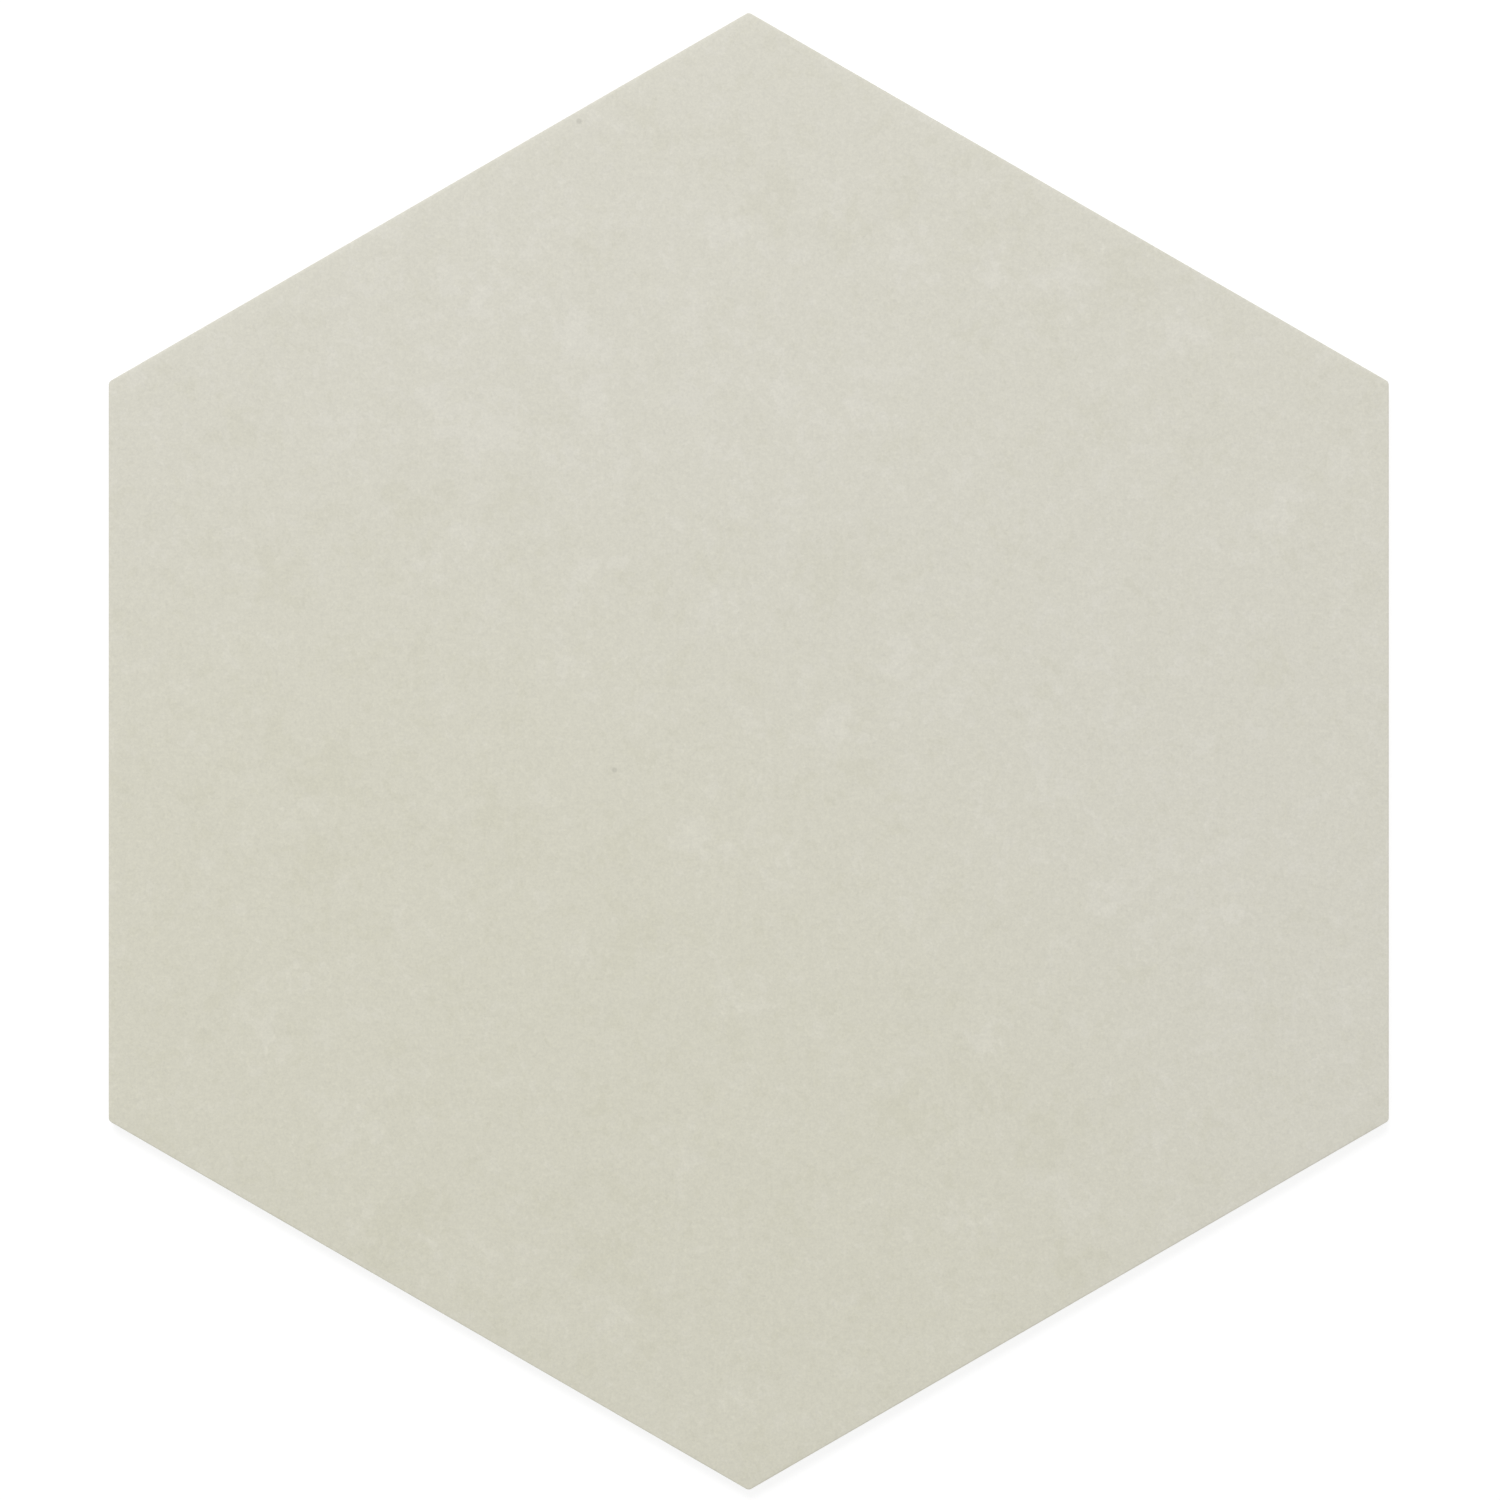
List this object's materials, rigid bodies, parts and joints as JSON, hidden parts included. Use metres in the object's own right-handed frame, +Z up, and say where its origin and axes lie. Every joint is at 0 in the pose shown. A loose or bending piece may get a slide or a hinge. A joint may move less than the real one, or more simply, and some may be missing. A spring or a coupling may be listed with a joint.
{
  "type": "vinyl floor tile",
  "caption": "Flat hexagonal vinyl floor tile with a matt, softly mottled stone-look wear face, eased upper edges and a plain back, laid edge to edge with its like to cover a floor.",
  "frame": {"origin": "middle of the back, the face that lies on the floor", "axes": "+Z up, out of the wear face; +Y towards one corner, which is the longest way across; +X square to one cut edge"},
  "size_m": [0.2, 0.2306, 0.003],
  "materials": {
    "vinyl": "matte"
  },
  "bodies": {
    "root": {"floor_tile": "vinyl"}
  },
  "joints": []
}
